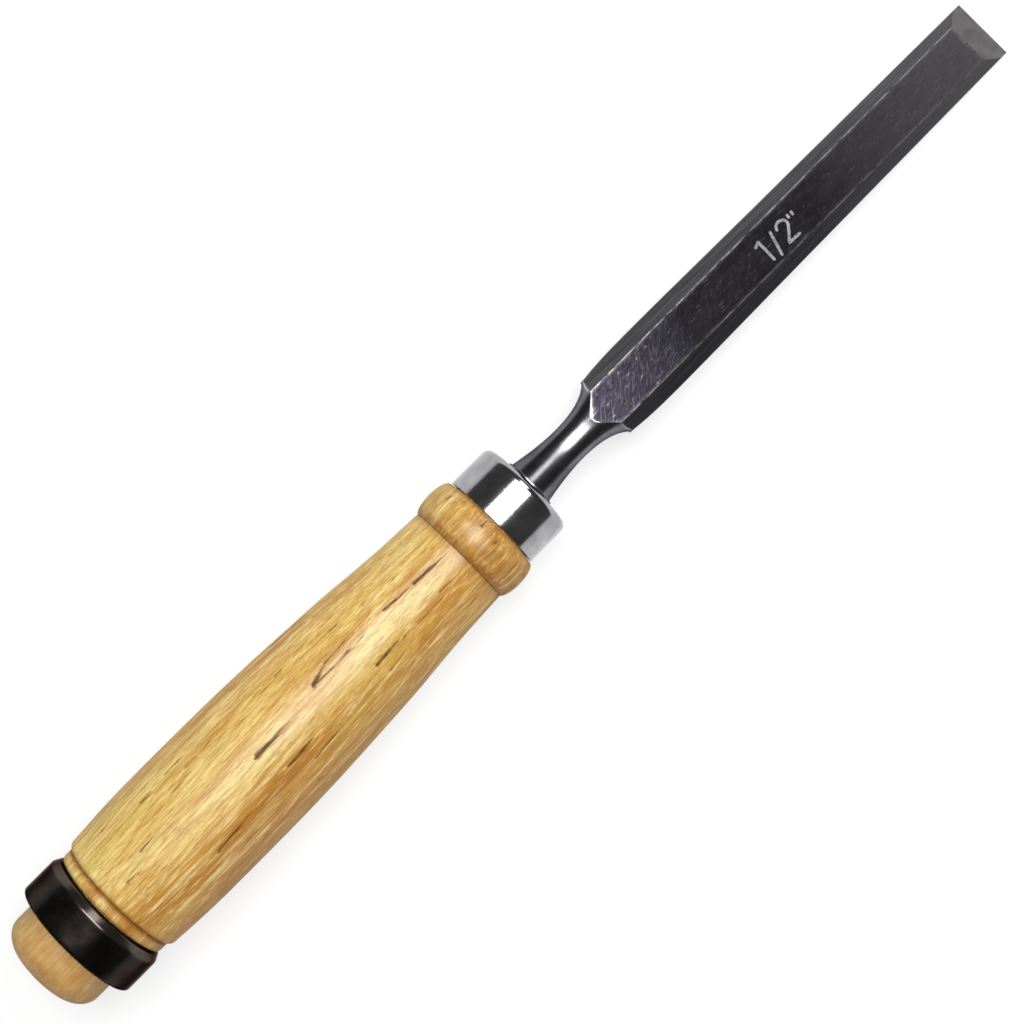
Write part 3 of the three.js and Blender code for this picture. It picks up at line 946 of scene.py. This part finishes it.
def to_ellipse(direction, half_width, half_height, heart):
    """How far along each direction an ellipse about the axis is."""
    u, v = direction[:, 0] / half_width, direction[:, 1] / half_height
    h = heart / half_height
    a, b, c = u * u + v * v, v * h, h * h - 1
    return (-b + np.sqrt(b * b - a * c)) / a


def flat_cuts(x, heart, direction):
    """Distances to the top face, side bevels, back and cutting bevel, as (face, distances)."""
    lean = math.hypot(1, SIDE_SLOPE)
    side = (side_height(x, 0) - heart) / lean
    cutting = BACK + EDGE_LAND + CUTTING_SLOPE * (EDGE - x) - heart
    return [
        (TOP, to_plane(direction, (0, 1), sloping_top(x) - heart)),
        (SIDE, to_plane(direction, (-SIDE_SLOPE / lean, 1 / lean), side)),
        (SIDE, to_plane(direction, (SIDE_SLOPE / lean, 1 / lean), side)),
        (BACK_FACE, to_plane(direction, (0, -1), heart - BACK)),
        (BEVEL, to_plane(direction, (0, 1), cutting)),
    ]


def section_ring(x, direction, heart, cuts, wear=0.10):
    """One ring of the blade. cuts are (face, distances); the nearest face is the surface. Edges
    are marked, for wear and for a painted highlight, over a distance of wear."""
    faces = np.array([face for face, _ in cuts])
    distances = np.stack([distance for _, distance in cuts])
    order = np.sort(distances, 0)
    nearest = order[0]
    softened = nearest * np.sum((nearest / distances) ** CRISPNESS, 0) ** (-1 / CRISPNESS)
    edge = np.exp(-(order[1] - nearest) / wear)
    flat = direction * softened[:, None] + np.array([0.0, heart])
    ring = np.column_stack([np.full(len(flat), x), flat])
    return ring, faces[distances.argmin(0)], edge


def blade_rings():
    plate_stations = np.unique(
        np.concatenate(
            [
                SHOULDER + 0.02 + np.array([0.0, 0.03, 0.08, 0.16]),
                np.linspace(SHOULDER + 0.3, EDGE - 5.6, 262),
                np.linspace(EDGE - 5.6, EDGE, 44),
            ]
        )
    )
    outline, heart = plate_section(SHOULDER)
    away = outline - (0.0, heart)
    direction = away / np.linalg.norm(away, axis=1)[:, None]
    made = []

    def round_ring(x, radius, radius_z=None):
        reach_out = to_ellipse(direction, radius, radius_z or radius, HEART)
        made.append(section_ring(x, direction, HEART, [(NECK, reach_out), (NECK, reach_out * 3)]))

    for x in np.linspace(TANG_TIP, FERRULE_FLOOR, 16):
        run = (x - TANG_TIP) / (TENON_END - TANG_TIP)
        half = TANG_TIP_HALF + (TANG_ROOT_HALF - TANG_TIP_HALF) * run
        bar = [
            (NECK, to_plane(direction, normal, half - HEART * normal[1]))
            for normal in ((1, 0), (-1, 0), (0, 1), (0, -1))
        ]
        made.append(section_ring(x, direction, HEART, bar))
    for x, radius in (
        (FERRULE_FLOOR, 4.40),
        (LIP_START, 4.40),
        (LIP_START, 5.18),
        (LIP_START + 0.12, 5.30),
        (NECK_START - 0.12, 5.30),
        (NECK_START, 5.18),
    ):
        round_ring(x, radius)

    def neck_curve(thin, shoulder):
        taper = bend((NECK_START, 4.8), (NECK_START + 6.1, thin), (NECK_THIN, thin), 40)
        flare = bend((NECK_THIN, thin), (SHOULDER - 2.7, thin), (SHOULDER, shoulder), 60)
        return np.concatenate([taper, flare[1:]])

    widths, heights = neck_curve(3.64, 6.5), neck_curve(3.0, 4.95)
    neck_stations = np.concatenate(
        [np.linspace(NECK_START, NECK_THIN, 28), np.linspace(NECK_THIN, SHOULDER, 64)[1:]]
    )
    for x in neck_stations:
        half_width = np.interp(x, widths[:, 0], widths[:, 1])
        half_height = np.interp(x, heights[:, 0], heights[:, 1])
        if x <= NECK_THIN:
            round_ring(x, half_width, half_height)
            continue
        round_cut = (NECK, to_ellipse(direction, half_width, half_height, HEART))
        cuts = [round_cut, *flat_cuts(x, HEART, direction)]
        made.append(section_ring(x, direction, HEART, cuts, wear=0.12))

    for x in plate_stations:
        outline, heart = plate_section(x)
        away = outline - (0.0, heart)
        towards = away / np.linalg.norm(away, axis=1)[:, None]
        half = float(plate_half(x))
        sides = [(LAND, to_plane(towards, (side, 0), half)) for side in (1, -1)]
        made.append(section_ring(x, towards, heart, [*flat_cuts(x, heart, towards), *sides]))
    rings, faces, edges = zip(*made)
    return np.stack(rings), np.stack(faces), np.stack(edges)


MARK_START = SHOULDER + 39.6
MARK_END = MARK_START + 12.5


def roughen(rings, faces, edges):
    """The forging skin on the top face, and a little unevenness everywhere else."""
    turn = math.radians(17)
    slanted = rings @ np.array(
        [[math.cos(turn), -math.sin(turn), 0], [math.sin(turn), math.cos(turn), 0], [0, 0, 1]]
    )
    coarse = noise(slanted, (3.2, 1.5, 9.0), 31)
    fine = noise(slanted, (1.1, 0.45, 9.0), 32)
    x = rings[..., 0]
    strength = np.interp(x, [SHOULDER - 4, SHOULDER + 30, EDGE - 40, EDGE], [1.0, 0.8, 0.35, 0.15])
    marked = np.exp(-(((x - 0.5 * (MARK_START + MARK_END)) / 8.0) ** 4))
    on_top = (faces == TOP) * (1 - edges)
    rings[..., 2] += on_top * strength * (1 - 0.8 * marked) * (0.022 * coarse + 0.016 * fine)
    ground = np.isin(faces, (SIDE, LAND, BACK_FACE)) & (x > SHOULDER + 1)
    rings[..., 2] += ground * (1 - edges) * 0.006 * noise(rings, (9.0, 3.0, 3.0), 33)
    return rings


def edge_wear_and_highlight(rings, edges):
    """Edges made bright, partly by wear and partly as a painted highlight: most on the left of the
    point behind the shoulder, where light catches them, and held dim on the right as painted
    shade.
    """
    x, y = rings[..., 0], rings[..., 1]
    left = np.interp(x, [SHOULDER, SHOULDER + 12, EDGE], [1.0, 0.5, 0.35])
    right = np.interp(x, [SHOULDER - 1.5, SHOULDER, SHOULDER + 12, EDGE], [0.05, 0.6, 0.2, 0.15])
    return edges * np.where(y > 0.3, left, right)


def add_blade():
    rings, faces, edges = blade_rings()
    rings = roughen(rings, faces, edges)
    points, quads = skin(rings, closed=False)
    look = {NECK: 0, TOP: 1, SIDE: 2, LAND: 2, BACK_FACE: 2, BEVEL: 3}
    by_point = np.vectorize(look.get)(faces)
    facets = by_point[:-1].ravel()
    turns = rings.shape[1]
    facets = np.concatenate([facets, np.full(turns, 0), np.full(turns, 3)]).astype(np.int32)
    marks = {"edge": np.concatenate([edge_wear_and_highlight(rings, edges).ravel(), [0.0, 0.0]])}
    materials = [polished_steel(), forged_steel(), ground_steel(), honed_steel()]
    piece = add_piece("forged_blade", points, quads, materials, facets, marks, 40.0)
    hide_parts("blade")


# ---- Size mark ------------------------------------------------------------------------------

# The strokes of a plain 1/2" on the top face, as (x from the mark's start, y) points.
STROKES = [
    [(0.4, 1.05), (1.7, 1.60), (1.6, -3.00)],
    [(4.7, 1.55), (3.2, -3.40)],
    [(5.7, 0.45), (6.2, 1.30), (7.2, 1.60), (8.1, 1.10), (8.2, 0.20), (7.3, -1.00)]
    + [(5.8, -2.60), (8.7, -2.70)],
    [(9.2, 1.55), (9.1, 0.60)],
    [(10.2, 1.45), (10.1, 0.50)],
]
STROKE_HALF = 0.28
MARK_RISE = 0.03
MARK_ROOT = 0.12  # how far the strokes reach into the blade


def stroke_outline(points):
    """A band of even width along a stroke, as two matching rows of points."""
    points = np.array(points, float) + (MARK_START, 0.0)
    if len(points) > 3:
        points = np.concatenate([smooth_curve(points[:-1], 28), points[-1:]])
    points = refined(points, 0.25)
    runs = np.gradient(points, axis=0)
    runs /= np.linalg.norm(runs, axis=1)[:, None]
    side = np.stack([-runs[:, 1], runs[:, 0]], 1)
    ends = np.minimum(np.arange(len(points)), np.arange(len(points))[::-1])
    half = STROKE_HALF * np.where(ends == 0, 0.55, 1.0)[:, None]
    return points + side * half, points - side * half


def add_size_mark():
    points, faces = [], []
    for stroke in STROKES:
        left, right = stroke_outline(stroke)
        first = len(points)
        for row in zip(left, right):
            for x, y in row:
                base = float(top_height(x))
                points.append((x, y, base - MARK_ROOT))
                points.append((x, y, base + MARK_RISE))
        for step in range(len(left) - 1):
            a = first + 4 * step
            b = a + 4
            faces += [(a + 1, b + 1, b + 3, a + 3), (a, a + 2, b + 2, b)]
            faces += [(a, b, b + 1, a + 1), (a + 2, a + 3, b + 3, b + 2)]
        last = first + 4 * (len(left) - 1)
        faces += [(first, first + 1, first + 3, first + 2), (last, last + 2, last + 3, last + 1)]
    add_piece("size_mark", np.array(points), faces, [etched_mark()], crisp=30.0)


# ---- The scene ------------------------------------------------------------------------------

add_camera()
add_softbox(
    "main_softbox",
    height=1.6,
    towards_tip=8.0,
    towards_left=5.0,
    length=0.52,
    width=1.20,
    level=1.04,
)
add_softbox(
    "fill_softbox",
    height=1.2,
    towards_tip=38.0,
    towards_left=8.0,
    length=1.16,
    width=0.50,
    level=0.27,
)
add_world()
add_floor()
add_handle()
add_hoop()
add_ferrule()
add_blade()
add_size_mark()

view = bpy.context.scene.view_settings
view.view_transform = "Standard"
